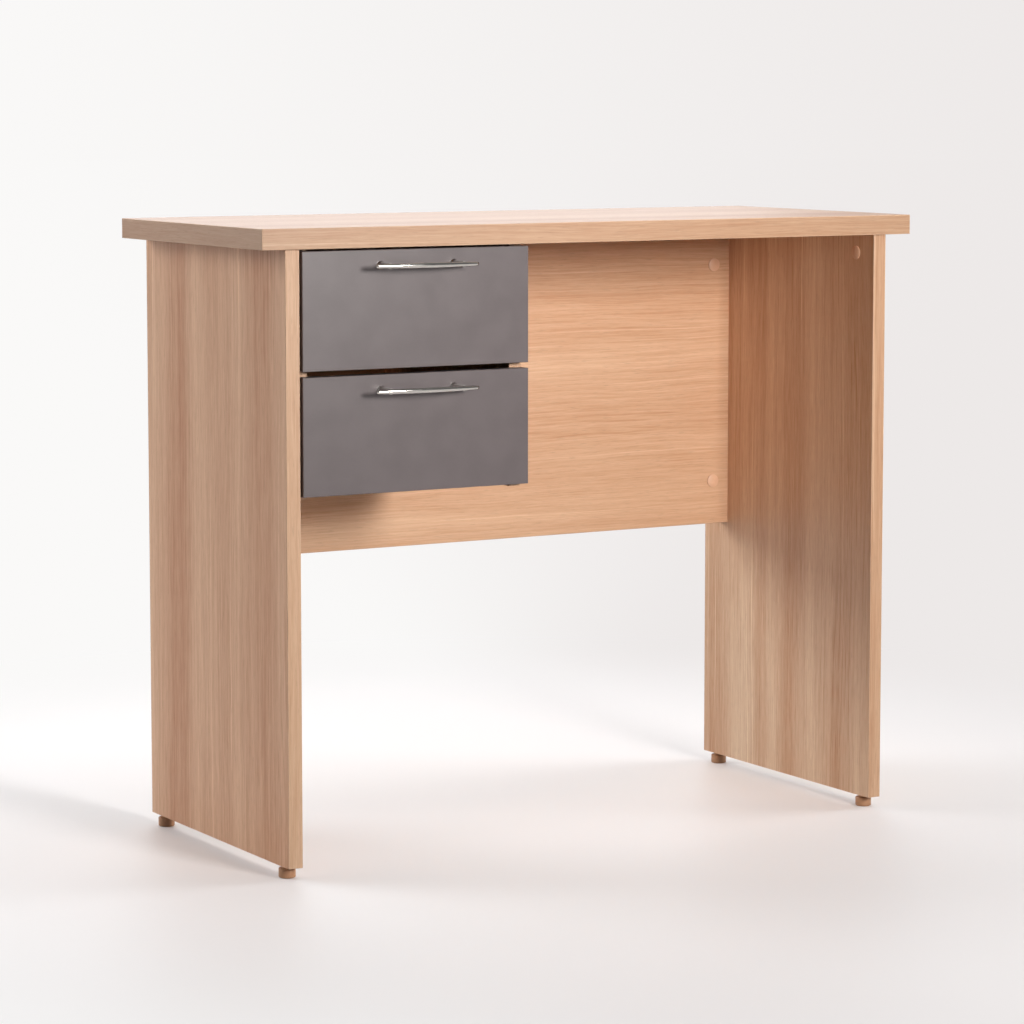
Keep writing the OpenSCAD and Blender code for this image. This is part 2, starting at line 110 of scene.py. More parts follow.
def calc(tree, operation, a, b=0.0, clamp=False):
    return add(tree, "Math", {0: a, 1: b}, operation=operation, use_clamp=clamp).outputs[0]


def noise(tree, vector, scale, detail=2.0, rough=0.5):
    """Noise from 0 to 1, with its own scale, in cycles a metre, along each axis"""
    scaled = add(tree, "VectorMath", {0: vector, 1: scale}, operation="MULTIPLY").outputs[0]
    inputs = {"Vector": scaled, "Scale": 1.0, "Detail": detail, "Roughness": rough}
    return add(tree, "TexNoise", inputs).outputs["Fac"]


def ramp(tree, value, low, high, out_low=0.0, out_high=1.0):
    """Maps value from low..high to out_low..out_high, smoothly, and holds it there"""
    inputs = {"Value": value, 1: low, 2: high, 3: out_low, 4: out_high}
    return add(tree, "MapRange", inputs, interpolation_type="SMOOTHSTEP").outputs[0]


def share(tree, a, b, weight):
    """Two values added, the first with that weight and the second with the rest of 1"""
    return calc(tree, "ADD", calc(tree, "MULTIPLY", a, weight), calc(tree, "MULTIPLY", b, 1 - weight))


def blend(tree, fac, a, b):
    """A colour between a and b"""
    mix = tree.nodes.new("ShaderNodeMix")
    mix.data_type = "RGBA"
    for socket, value in ((mix.inputs[0], fac), (mix.inputs[6], a), (mix.inputs[7], b)):
        if isinstance(value, bpy.types.NodeSocket):
            tree.links.new(value, socket)
        else:
            socket.default_value = value
    return mix.outputs[2]


def rgb(red, green, blue):
    """A colour from 0..255 display values to the linear values that shaders use"""
    def linear(value):
        value = value / 255
        return value / 12.92 if value <= 0.04045 else ((value + 0.055) / 1.055) ** 2.4
    return (linear(red), linear(green), linear(blue), 1.0)


def shade(colour, amount):
    """The colour made darker or lighter by an amount, with 1 for no change"""
    return tuple(min(1.0, amount * c) for c in colour[:3]) + (1.0,)


def new_material(name, **constants):
    """A material with one Principled shader, whose unvarying inputs are set here"""
    material = bpy.data.materials.new(name)
    material.use_nodes = True
    tree = material.node_tree
    shader = tree.nodes["Principled BSDF"]
    for key, value in constants.items():
        shader.inputs[key.replace("_", " ")].default_value = value
    return material, tree, shader


def bump(tree, shader, height, depth):
    """Raises the surface by height, from 0 to 1, times depth in metres"""
    made = add(tree, "Bump", {"Height": height, "Distance": depth, "Strength": 1.0})
    tree.links.new(made.outputs[0], shader.inputs["Normal"])


# ---- Materials ----

# How much red, green and blue change between dark and light grain
GRAIN_HUE = (0.62, 1.07, 1.38)
# How far the grain moves to the side, in metres, in long waves and in short ones
WANDER = 0.030
RIPPLE = 0.004
RINGS_PER_METRE = 115
# How far, in radians, the rings' spacing drifts
RING_DRIFT = 26
RING_DEPTH = 0.22
STREAK_DEPTH = 0.50
FIBRE_DEPTH = 0.85
MEAN_TONE = 0.52
PORE_COVER = 0.40
PORE_SHADE = 0.55
FIBRE_HEIGHT = 0.4
PORE_BUMP = 0.03 * MM


def swing(tree, value, weight):
    """A 0..1 value as a swing of that weight about zero"""
    return calc(tree, "MULTIPLY", calc(tree, "SUBTRACT", value, 0.5), weight)


def total(tree, values):
    result = values[0]
    for value in values[1:]:
        result = calc(tree, "ADD", result, value)
    return result


def oak(name, along, across, seed, mean,
        spread=0.36, bright_depth=0.30, band_depth=1.0, line_depth=0.85):
    """Oak-print laminate. Its grain runs along one axis and its lines lie across another.

    Spread is how far the grain's shades go from the mean colour. The depths are the weights of the
    bright lines, the broad bands and the fine lines in the grain.
    """
    material, tree, shader = new_material(name)
    # The dark lines are redder than the wood, and the light ones paler
    dark = tuple(max(0.02, c * (1 - spread * k)) for c, k in zip(mean, GRAIN_HUE)) + (1.0,)
    light = tuple(min(0.95, c * (1 + spread * k)) for c, k in zip(mean, GRAIN_HUE)) + (1.0,)
    position = add(tree, "TexCoord").outputs["Object"]
    parts = add(tree, "SeparateXYZ", {0: position}).outputs
    through = X + Y + Z - along - across
    # From here on the grain runs along X and its lines lie across Y
    turned = {X: parts[along], Y: parts[across], Z: parts[through]}
    place = add(tree, "CombineXYZ", turned).outputs[0]
    place = add(tree, "VectorMath", {0: place, 1: (seed, 0.37 * seed, 0.11 * seed)}).outputs[0]

    wander = swing(tree, noise(tree, place, (1.1, 4, 4), 2), WANDER)
    ripple = swing(tree, noise(tree, place, (9, 26, 10), 1), RIPPLE)
    bent = add(tree, "CombineXYZ", {1: total(tree, [wander, ripple])}).outputs[0]
    grain = add(tree, "VectorMath", {0: place, 1: bent}).outputs[0]

    # Growth rings: close dark lines that gather in some places and fade out in others
    rings_at = add(tree, "SeparateXYZ", {0: grain}).outputs[1]
    rings_at = calc(tree, "MULTIPLY", rings_at, 2 * pi * RINGS_PER_METRE)
    drift = calc(tree, "MULTIPLY", noise(tree, grain, (2.2, 12, 5), 2), RING_DRIFT)
    ring = calc(tree, "SINE", total(tree, [rings_at, drift]))
    ring = ramp(tree, ring, 0.35, 1.0)
    where = ramp(tree, noise(tree, grain, (1.6, 11, 4), 2), 0.46, 0.66)
    broken = ramp(tree, noise(tree, grain, (11, 190, 20), 2), 0.35, 0.60)
    ring = calc(tree, "MULTIPLY", calc(tree, "MULTIPLY", ring, where), broken)

    broad = noise(tree, grain, (0.5, 14, 4), 2)
    streaks = noise(tree, grain, (1.8, 85, 8), 3, 0.6)
    lines = noise(tree, grain, (8, 420, 20), 3, 0.65)
    fibre = noise(tree, grain, (26, 1200, 200), 2, 0.7)
    pores = ramp(tree, noise(tree, grain, (60, 1700, 300), 1), 0.60, 0.74)
    bright = ramp(tree, noise(tree, grain, (1.2, 300, 40), 1), 0.68, 0.76)

    tone = total(tree, [
        swing(tree, broad, band_depth), swing(tree, streaks, STREAK_DEPTH),
        swing(tree, lines, line_depth), swing(tree, fibre, FIBRE_DEPTH),
        calc(tree, "MULTIPLY", ring, -RING_DEPTH), calc(tree, "MULTIPLY", bright, bright_depth),
    ])
    colour = blend(tree, calc(tree, "ADD", tone, MEAN_TONE, clamp=True), dark, light)
    colour = blend(tree, calc(tree, "MULTIPLY", pores, PORE_COVER), colour, shade(mean, PORE_SHADE))
    tree.links.new(colour, shader.inputs["Base Color"])
    rough = ramp(tree, calc(tree, "ADD", fibre, pores), 0.3, 1.3, 0.40, 0.56)
    tree.links.new(rough, shader.inputs["Roughness"])
    height = calc(tree, "SUBTRACT", calc(tree, "MULTIPLY", fibre, FIBRE_HEIGHT), pores)
    bump(tree, shader, height, PORE_BUMP)
    return material


def speckled(name, colour, spread, scale, rough, depth, **constants):
    """A plain surface with soft patches, fine grain and a slight texture"""
    material, tree, shader = new_material(name, **constants)
    position = add(tree, "TexCoord").outputs["Object"]
    patches = noise(tree, position, (scale, scale, scale), 3, 0.6)
    fine = 40 * scale
    grain = noise(tree, position, (fine, fine, fine), 2, 0.6)
    value = share(tree, patches, grain, 0.6)
    dark, light = shade(colour, 1 - spread), shade(colour, 1 + spread)
    mottled = blend(tree, ramp(tree, value, 0.35, 0.65), dark, light)
    tree.links.new(mottled, shader.inputs["Base Color"])
    tree.links.new(ramp(tree, value, 0.3, 0.7, *rough), shader.inputs["Roughness"])
    bump(tree, shader, grain, depth)
    return material


def metal(name, colour, along, rough, depth, metallic=1.0):
    """Metal with fine lines along one axis and a slightly uneven polish"""
    material, tree, shader = new_material(name, Metallic=metallic)
    position = add(tree, "TexCoord").outputs["Object"]
    scale = [2500, 2500, 2500]
    scale[along] = 60
    lines = noise(tree, position, scale, 2)
    patches = noise(tree, position, (90, 90, 90), 2)
    dull = shade(colour, 0.86)
    tree.links.new(blend(tree, patches, dull, colour), shader.inputs["Base Color"])
    value = share(tree, lines, patches, 0.5)
    tree.links.new(ramp(tree, value, 0.35, 0.65, *rough), shader.inputs["Roughness"])
    bump(tree, shader, lines, depth)
    return material


# The end panels and the pedestal show broader bands and softer lines than the other boards
PANEL_GRAIN = {"spread": 0.60, "bright_depth": 0.45, "band_depth": 1.25, "line_depth": 0.45}


def make_materials():
    """Every look by name. Speckled and metal looks give their range of roughness and bump depth."""
    grey = rgb(85, 75, 76)
    white = rgb(226, 222, 214)
    return {
        "modesty": oak("oak_modesty", X, Z, 3.0, rgb(215, 173, 139), 0.30),
        "top": oak("oak_top", X, Y, 1.0, rgb(200, 159, 132)),
        "top_edge": oak("oak_top_edge", X, Z, 4.0, rgb(184, 145, 115)),
        "side_edge": oak("oak_side_edge", Y, Z, 5.0, rgb(187, 149, 122)),
        "panel": oak("oak_panel", Z, Y, 7.0, rgb(212, 162, 127), **PANEL_GRAIN),
        # The right end panel is the same oak as the left one, painted lighter to make up for the
        # shade on its inner face
        "right_end_lightened_for_shade": oak("oak_right_end_lightened_for_shade", Z, Y, 12.0, rgb(221, 179, 146), **PANEL_GRAIN),
        "arris": speckled("oak_arris", rgb(214, 178, 148), 0.08, 90, (0.42, 0.55), 0.01 * MM),
        "panel_edge": oak("oak_panel_edge", Z, X, 9.0, rgb(198, 157, 125)),
        "grey": speckled(
            "grey_laminate", grey, 0.06, 28, (0.32, 0.38), 0.02 * MM, Specular_IOR_Level=0.8,
        ),
        "grey_arris": speckled("grey_arris", rgb(104, 94, 93), 0.08, 60, (0.35, 0.45), 0.01 * MM),
        "white": speckled("white_board", white, 0.02, 40, (0.42, 0.50), 0.02 * MM),
        "hardboard": speckled("hardboard", rgb(205, 200, 190), 0.04, 120, (0.55, 0.65), 0.05 * MM),
        "nickel": metal("satin_nickel", rgb(206, 203, 198), X, (0.09, 0.16), 0.002 * MM),
        "zinc": metal("zinc_plate", rgb(196, 199, 203), Y, (0.42, 0.54), 0.004 * MM, 0.6),
        "foot": speckled("foot_plastic", rgb(180, 134, 100), 0.06, 200, (0.36, 0.44), 0.02 * MM),
        "cap": speckled("cap_plastic", rgb(224, 180, 148), 0.03, 150, (0.34, 0.42), 0.01 * MM),
        "beech": speckled("beech", rgb(214, 184, 142), 0.10, 120, (0.55, 0.70), 0.05 * MM),
    }


# ---- Pieces ----

# Corners closer than this are one corner, and an edge closer than this to a face lies in it
WELD = 0.002 * MM
ON_FACE = 0.02 * MM
# Faces that meet at less than this are one flat face
FLAT = radians(1)
# The material index of rounded edges
ARRIS = 1
ROUND_STEPS = 3
# An edge that turns more than this stays crisp, in a board and in a turned shape
CRISP_BOARD = radians(35)
CRISP_TURNED = radians(40)
TURNED_STEPS = 64
# Rounding of banding, of a cut board's edges, and of edges that banding covers
BAND_ROUND = 0.7 * MM
BOARD_ROUND = 0.25 * MM
COVERED_ROUND = 0.05 * MM
BOX_ROUND = 0.5 * MM
BOTTOM_ROUND = 0.2 * MM
# Faces of a box, as (axis, is it the high one)
LOW_X, HIGH_X, HIGH_Y, HIGH_Z = (X, False), (X, True), (Y, True), (Z, True)


def body_of(node):
    return frame["nodes"][node]["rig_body"]


def make_piece(node, mesh, materials):
    """A finished piece that stands for a CAD node and rides where it rides"""
    for material in materials:
        mesh.materials.append(material)
    piece = bpy.data.objects.new(node + "_finished", mesh)
    bpy.context.scene.collection.objects.link(piece)
    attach(piece, body_of(node))
    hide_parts(node)


def cad_shell(node):
    """The node's mesh with its corners welded and its flat faces whole"""
    source = frame["nodes"][node].data
    shell = bmesh.new()
    corners = [shell.verts.new(v.co) for v in source.vertices]
    for face in source.polygons:
        shell.faces.new([corners[i] for i in face.vertices])
    bmesh.ops.remove_doubles(shell, verts=shell.verts, dist=WELD)
    bmesh.ops.dissolve_limit(shell, angle_limit=FLAT, verts=shell.verts, edges=shell.edges)
    return shell


def box_faces(edge, low, high):
    """Which faces of the box from low to high an edge lies in"""
    found = set()
    for axis in (X, Y, Z):
        for is_high, limit in ((False, low[axis]), (True, high[axis])):
            if all(abs(v.co[axis] - limit) < ON_FACE for v in edge.verts):
                found.add((axis, is_high))
    return found


def round_box_edges(shell, low, high, radius, square=()):
    """Rounds the edges that lie along an edge of the box, apart from those on a face left square"""
    chosen = []
    for edge in shell.edges:
        faces = box_faces(edge, low, high)
        if len(faces) == 2 and not faces & set(square) and edge.calc_length() > 2 * radius:
            chosen.append(edge)
    made = bmesh.ops.bevel(
        shell, geom=chosen, offset=radius, segments=ROUND_STEPS, profile=0.5, affect="EDGES",
        clamp_overlap=True, material=ARRIS,
    )
    rounded = set(made["faces"])
    for face in shell.faces:
        face.smooth = True
    for edge in shell.edges:
        sides = [face in rounded for face in edge.link_faces]
        flat = any(sides) and not all(sides)
        edge.smooth = not flat and edge.calc_face_angle(pi) < CRISP_BOARD


def to_mesh(shell, name):
    mesh = bpy.data.meshes.new(name)
    shell.to_mesh(mesh)
    shell.free()
    return mesh


def add_block(shell, low, high):
    centre = [(a + b) / 2 for a, b in zip(low, high)]
    size = [b - a for a, b in zip(low, high)]
    matrix = Matrix.Translation(centre) @ Matrix.Diagonal((*size, 1))
    bmesh.ops.create_cube(shell, size=1, matrix=matrix)


def board(node, materials, radius, square=()):
    """A board with its free edges taken off. Its materials are the faces' and the edges'."""
    shell = cad_shell(node)
    low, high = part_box(node)
    round_box_edges(shell, low, high, radius, square)
    make_piece(node, to_mesh(shell, node), materials)


def bands(node, inside, faces, material_of, arris, square=()):
    """Edge banding: a strip on each named face of a board, from the banding's box to the board's

    A face is given as its axis, whether it is the high one, and the axes along which the strip
    stops at the board's corners because other strips cover its ends.
    """
    outer_low, outer_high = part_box(node)
    inner_low, inner_high = inside
    shell = bmesh.new()
    materials = [arris, arris]
    for axis, is_high, spans in faces:
        low, high = list(outer_low), list(outer_high)
        if is_high:
            low[axis] = inner_high[axis]
        else:
            high[axis] = inner_low[axis]
        for other in spans:
            low[other], high[other] = inner_low[other], inner_high[other]
        before = set(shell.faces)
        add_block(shell, low, high)
        material = material_of[axis]
        if material not in materials:
            materials.append(material)
        for face in set(shell.faces) - before:
            face.material_index = materials.index(material)
    round_box_edges(shell, outer_low, outer_high, BAND_ROUND, square)
    make_piece(node, to_mesh(shell, node), materials)


def lathe(profile, axis_at, axis):
    """A closed turned shape. The profile is (radius, distance along the axis) from end to end."""
    shell = bmesh.new()
    up = Vector(axis).normalized()
    side = up.orthogonal().normalized()
    third = up.cross(side)
    rings = []
    for radius, along in profile:
        centre = Vector(axis_at) + up * along
        if radius == 0:
            rings.append([shell.verts.new(centre)])
            continue
        turn = [2 * pi * i / TURNED_STEPS for i in range(TURNED_STEPS)]
        ring = [centre + radius * (cos(a) * side + sin(a) * third) for a in turn]
        rings.append([shell.verts.new(corner) for corner in ring])
    for a, b in zip(rings, rings[1:]):
        for i in range(TURNED_STEPS):
            j = (i + 1) % TURNED_STEPS
            corners = [a[i % len(a)], a[j % len(a)], b[j % len(b)], b[i % len(b)]]
            # A ring that is one point gives a triangle, or no face next to another point
            corners = list(dict.fromkeys(corners))
            if len(corners) > 2:
                shell.faces.new(corners)
    bmesh.ops.recalc_face_normals(shell, faces=shell.faces)
    for face in shell.faces:
        face.smooth = True
    for edge in shell.edges:
        edge.smooth = edge.calc_face_angle(pi) < CRISP_TURNED
    return shell


def join_shells(shells, name):
    """One mesh from several shells"""
    whole = bmesh.new()
    for shell in shells:
        part = bpy.data.meshes.new("part")
        shell.to_mesh(part)
        shell.free()
        whole.from_mesh(part)
        bpy.data.meshes.remove(part)
    return to_mesh(whole, name)


# ---- Desk ----


def make_boards(looks):
    panel = looks["panel"]
    board("worktop", [looks["top"]] * 2, COVERED_ROUND)
    board("left_end_panel", [panel] * 2, BOARD_ROUND, (HIGH_Z,))
    # The right end panel takes the oak painted lighter against the shade on its inner face
    board("right_end_panel", [looks["right_end_lightened_for_shade"]] * 2, BOARD_ROUND, (HIGH_Z,))
    board("modesty_panel", [looks["modesty"]] * 2, BOARD_ROUND, (HIGH_Z, LOW_X, HIGH_X))
    board("pedestal_left_side", [panel] * 2, BOARD_ROUND, (HIGH_Z,))
    board("pedestal_right_side", [panel] * 2, BOARD_ROUND, (HIGH_Z,))


def make_bands(looks):
    arris, modesty = looks["arris"], looks["modesty"]
    worktop_looks = {X: looks["side_edge"], Y: looks["top_edge"]}
    worktop_faces = [(Y, False, ()), (Y, True, ()), (X, False, (Y,)), (X, True, (Y,))]
    bands("worktop_edge_bands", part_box("worktop"), worktop_faces, worktop_looks, arris)
    for side in SIDES:
        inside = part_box(side + "_end_panel")
        faces = [(Y, False, ()), (Y, True, ())]
        bands(side + "_panel_edge_bands", inside, faces, {Y: looks["panel_edge"]}, arris, (HIGH_Z,))
    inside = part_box("modesty_panel")
    square = (LOW_X, HIGH_X, HIGH_Z)
    bands("modesty_edge_band", inside, [(Z, False, ())], {Z: modesty}, modesty, square)


def make_pedestal_bands(looks):
    """The two sides of the pedestal are banded at the front and underneath"""
    outer_low, outer_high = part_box("pedestal_edge_bands")
    shell = bmesh.new()
    for side in SIDES:
        low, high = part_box(f"pedestal_{side}_side")
        add_block(shell, (low.x, outer_low.y, outer_low.z), (high.x, low.y, outer_high.z))
        add_block(shell, (low.x, low.y, outer_low.z), (high.x, outer_high.y, low.z))
    round_box_edges(shell, outer_low, outer_high, BAND_ROUND, (HIGH_Z, HIGH_Y))
    # The flat faces underneath have their grain from front to back
    materials = [looks["panel_edge"], looks["panel_edge"], looks["side_edge"]]
    for face in shell.faces:
        if face.material_index != ARRIS and abs(face.normal.z) > 0.5:
            face.material_index = 2
    make_piece("pedestal_edge_bands", to_mesh(shell, "pedestal_edge_bands"), materials)


def make_drawer(drawer, looks):
    grey, white, arris = looks["grey"], looks["white"], looks["grey_arris"]
    front = drawer + "_drawer_front"
    board(front, [grey, arris], COVERED_ROUND)
    faces = [(Z, False, ()), (Z, True, ()), (X, False, (Z,)), (X, True, (Z,))]
    bands(drawer + "_front_edge_bands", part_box(front), faces, {X: grey, Z: grey}, arris)
    for part in ("box_left_side", "box_right_side", "box_front", "box_back"):
        board(f"{drawer}_{part}", [white] * 2, BOX_ROUND)
    board(drawer + "_box_bottom", [looks["hardboard"]] * 2, BOTTOM_ROUND)


# ---- Handles ----

# How far the bar's middle stands in front of its ends
BAR_BOW = 5.5 * MM
BAR_DEPTH = 5 * MM
BAR_END_HEIGHT = 4.6 * MM
# 1 gives an ellipse, and less a squarer section
BAR_SQUARENESS = 0.84
# The very ends are drawn in by this factor
BAR_END_SQUEEZE = 0.86
BAR_STATIONS = 60
SECTION_STEPS = 28
POST_RADIUS = 3.5 * MM
POST_PITCH = 96 * MM
FLANGE_RADIUS = 5 * MM
FLANGE_THICKNESS = 1.5 * MM
# The flange's edge at the drawer front is cut back by the chamfer, and its other edge slopes
FLANGE_CHAMFER = 0.2 * MM
FLANGE_SLOPE = 0.3 * MM
# The flare's width and length, and the number of steps in its curve
FLARE = 1.3 * MM
FLARE_LENGTH = 3 * MM
FLARE_STEPS = 8


def bar_section(height, depth):
    """Outline of the bar, a little squarer than an ellipse, as (back to front, up) pairs"""
    outline = []
    for i in range(SECTION_STEPS):
        turn = 2 * pi * i / SECTION_STEPS
        across, up = cos(turn), sin(turn)
        outline.append((
            depth / 2 * abs(across) ** BAR_SQUARENESS * (1 if across > 0 else -1),
            height / 2 * abs(up) ** BAR_SQUARENESS * (1 if up > 0 else -1),
        ))
    return outline


def make_bar(node, looks):
    """An arched strip, tallest at its middle, with its ends drawn in"""
    low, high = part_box(node)
    middle = (low + high) / 2
    half = (high.x - low.x) / 2
    full_height = high.z - low.z
    arc = half ** 2 / (2 * BAR_BOW) + BAR_BOW / 2
    centre_y = low.y + BAR_DEPTH / 2 + arc
    shell = bmesh.new()
    rings = []
    for i in range(BAR_STATIONS + 1):
        # From -1 at one end to 1 at the other
        place = 2 * i / BAR_STATIONS - 1
        squeeze = BAR_END_SQUEEZE if abs(place) == 1 else 1.0
        height = full_height - (full_height - BAR_END_HEIGHT) * place * place
        angle = place * half / arc
        outward = Vector((sin(angle), -cos(angle), 0))
        spine = Vector((middle.x, centre_y, middle.z)) + arc * outward
        spine.x = middle.x + place * half
        ring = []
        for across, up in bar_section(height * squeeze, BAR_DEPTH * squeeze):
            ring.append(shell.verts.new(spine + across * outward + Vector((0, 0, up))))
        rings.append(ring)
    for a, b in zip(rings, rings[1:]):
        for i in range(len(a)):
            j = (i + 1) % len(a)
            shell.faces.new([a[i], a[j], b[j], b[i]])
    shell.faces.new(rings[0])
    shell.faces.new(list(reversed(rings[-1])))
    bmesh.ops.recalc_face_normals(shell, faces=shell.faces)
    for face in shell.faces:
        face.smooth = len(face.verts) == 4
    make_piece(node, to_mesh(shell, node), [looks["nickel"]])


def post_profile(length):
    """A post that flares out to a flange where it meets the drawer front"""
    rim = FLANGE_RADIUS - FLANGE_CHAMFER
    profile = [
        (0, 0), (rim, 0), (FLANGE_RADIUS, FLANGE_CHAMFER),
        (FLANGE_RADIUS, FLANGE_THICKNESS - FLANGE_SLOPE), (rim, FLANGE_THICKNESS),
    ]
    for i in range(1, FLARE_STEPS + 1):
        done = i / FLARE_STEPS
        flare = FLARE * (1 - sin(done * pi / 2))
        profile.append((POST_RADIUS + flare, FLANGE_THICKNESS + FLARE_LENGTH * done))
    return profile + [(POST_RADIUS, length), (0, length)]


def make_posts(node, looks):
    low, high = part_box(node)
    middle = (low + high) / 2
    shells = []
    for side in (-1, 1):
        foot = Vector((middle.x + side * POST_PITCH / 2, high.y, middle.z))
        shells.append(lathe(post_profile(high.y - low.y), foot, (0, -1, 0)))
    make_piece(node, join_shells(shells, node), [looks["nickel"]])


# ---- Small fittings ----

# Roundings of a foot's lower and upper edges, each with its steps, and the heights where its body
# and its neck end
FOOT_LOWER_ROUND = 1.5 * MM
FOOT_LOWER_STEPS = 6
FOOT_UPPER_ROUND = 0.8 * MM
FOOT_UPPER_STEPS = 4
FOOT_BODY_TOP = 11 * MM
FOOT_NECK_TOP = 13 * MM
NECK_RADIUS = 6 * MM
STEM_RADIUS = 4 * MM

# A cap's plug radius, and the depth that the plug reaches into the board
CAP_PLUG = 2 * MM
CAP_RECESS = 2 * MM
CAP_STEP = 0.5 * MM
CAP_DOME = 1.3 * MM
DOME_STEPS = 12


def make_foot(node, looks):
    """A moulded glide with soft edges, a neck and a stem"""
    low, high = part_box(node)
    axis_at = Vector(((low.x + high.x) / 2, (low.y + high.y) / 2, low.z))
    radius = (high.x - low.x) / 2
    length = high.z - low.z
    profile = [(0, 0)]
    for i in range(FOOT_LOWER_STEPS + 1):
        turn = pi / 2 * i / FOOT_LOWER_STEPS
        inset, rise = FOOT_LOWER_ROUND * (1 - sin(turn)), FOOT_LOWER_ROUND * (1 - cos(turn))
        profile.append((radius - inset, rise))
    for i in range(FOOT_UPPER_STEPS + 1):
        turn = pi / 2 * i / FOOT_UPPER_STEPS
        inset, drop = FOOT_UPPER_ROUND * (1 - cos(turn)), FOOT_UPPER_ROUND * (1 - sin(turn))
        profile.append((radius - inset, FOOT_BODY_TOP - drop))
    profile += [(NECK_RADIUS, FOOT_BODY_TOP), (NECK_RADIUS, FOOT_NECK_TOP)]
    profile += [(STEM_RADIUS, FOOT_NECK_TOP), (STEM_RADIUS, length), (0, length)]
    make_piece(node, to_mesh(lathe(profile, axis_at, (0, 0, 1)), node), [looks["foot"]])


def solids_of(node):
    """The box of each separate solid in a node, in a fixed order"""
    shell = cad_shell(node)
    left = set(shell.verts)
    found = []
    while left:
        group, todo = set(), [next(iter(left))]
        while todo:
            vertex = todo.pop()
            if vertex not in group:
                group.add(vertex)
                todo += [edge.other_vert(vertex) for edge in vertex.link_edges]
        left -= group
        low = Vector([min(v.co[axis] for v in group) for axis in (X, Y, Z)])
        high = Vector([max(v.co[axis] for v in group) for axis in (X, Y, Z)])
        found.append((low, high))
    shell.free()
    return sorted(found, key=lambda box: tuple(round(v, 5) for v in box[0]))


def cap_profile(radius, length):
    """A cap with a plug in the board's recess, a step under its rim and a domed face"""
    curve = (radius ** 2 + CAP_DOME ** 2) / (2 * CAP_DOME)
    inner = radius - CAP_STEP
    profile = [(0, 0), (CAP_PLUG, 0), (CAP_PLUG, CAP_RECESS), (inner, CAP_RECESS)]
    profile += [(inner, CAP_RECESS + CAP_STEP), (radius, CAP_RECESS + CAP_STEP)]
    for i in range(DOME_STEPS):
        out = radius * (1 - i / DOME_STEPS)
        profile.append((out, length - curve + sqrt(curve ** 2 - out ** 2)))
    return profile + [(0, length)]


def make_caps(node, looks):
    """Each cap lies flat on its board: the modesty panel's face the front, and the others inward"""
    shells = []
    for low, high in solids_of(node):
        size = high - low
        axis = min((X, Y, Z), key=lambda a: size[a])
        centre = (low + high) / 2
        outward = Vector((0, 0, 0))
        outward[axis] = -1 if axis == Y or centre.x > 0 else 1
        foot = centre - outward * size[axis] / 2
        shells.append(lathe(cap_profile(max(size) / 2, size[axis]), foot, outward))
    make_piece(node, join_shells(shells, node), [looks["cap"]])


def keep_cad(nodes, material):
    """CAD nodes whose shape is right get a finish and keep their mesh"""
    for node in nodes:
        data = frame["nodes"][node].data
        data.materials.clear()
        data.materials.append(material)


def make_fittings(looks):
    for foot in FEET:
        make_foot(foot, looks)
    make_caps("cam_cover_caps", looks)
    keep_cad(["dowels"], looks["beech"])
    zinc = ["cam_housings", "cam_bolts", "pedestal_screws", "runner_screws", "foot_inserts"]
    for drawer in DRAWERS:
        zinc += [f"{drawer}_{kind}_screws" for kind in ("box", "front", "rail", "handle")]
    keep_cad(zinc, looks["zinc"])
    rails = [f"{drawer}_{side}_{part}_rail" for drawer in DRAWERS for side in SIDES
             for part in ("outer", "middle", "inner")]
    keep_cad(rails, looks["zinc"])


# ---- Studio ----

PALE_LEFT = rgb(250, 249, 248)
PALE_RIGHT = rgb(237, 233, 232)
ROOM = rgb(250, 248, 247)
# The way across the front view, from left to right
SIDEWAYS = Vector((cos(CAMERA_YAW), -sin(CAMERA_YAW), 0))
# The room's light on matt surfaces (glow) and in reflections (sheen), from the back and the front
BACK_GLOW = 0.16
BACK_SHEEN = 0.55
FRONT_GLOW = 0.005
FRONT_SHEEN = 0.18
# The floor's colour as seen, its colour as it lights the desk, and its glow where it has faded
FLOOR_PAINT = rgb(243, 241, 242)
FLOOR_BOUNCE = rgb(185, 184, 184)
FLOOR_GLOW = 0.05
FLOOR_RADIUS = 40
# Distances from the origin between which the floor fades into the backdrop
FADE_FROM = 0.62
FADE_TO = 1.45
MIDDLE = (0, 0, 0.5)
# Name: place, aim, width and height, watts, and settings that differ from a plain soft light's
LIGHTS = {
    "key": (
        (0.25, -2.69, 1.18), (0.02, -0.1, 0.78), (0.62, 0.60), 15,
        {"colour": (1.0, 0.97, 0.94), "spread": 80, "glossy": True},
    ),
    "back": ((0.4, 3.2, 2.2), MIDDLE, (4.5, 2.4), 65, {"glossy": True}),
    "left": ((-2.5, 2.2, 1.6), MIDDLE, (2.0, 2.0), 72, {}),
    "right": ((3.2, -0.8, 1.8), MIDDLE, (2.0, 2.0), 63, {}),
    "top": ((0, -0.6, 3.2), MIDDLE, (2.5, 2.5), 17, {}),
}


def pale(tree, direction):
    """The backdrop's colour, which falls off a little to one side"""
    dot = add(tree, "VectorMath", {0: direction, 1: SIDEWAYS}, operation="DOT_PRODUCT")
    return blend(tree, ramp(tree, dot.outputs["Value"], -0.2, 0.2), PALE_LEFT, PALE_RIGHT)


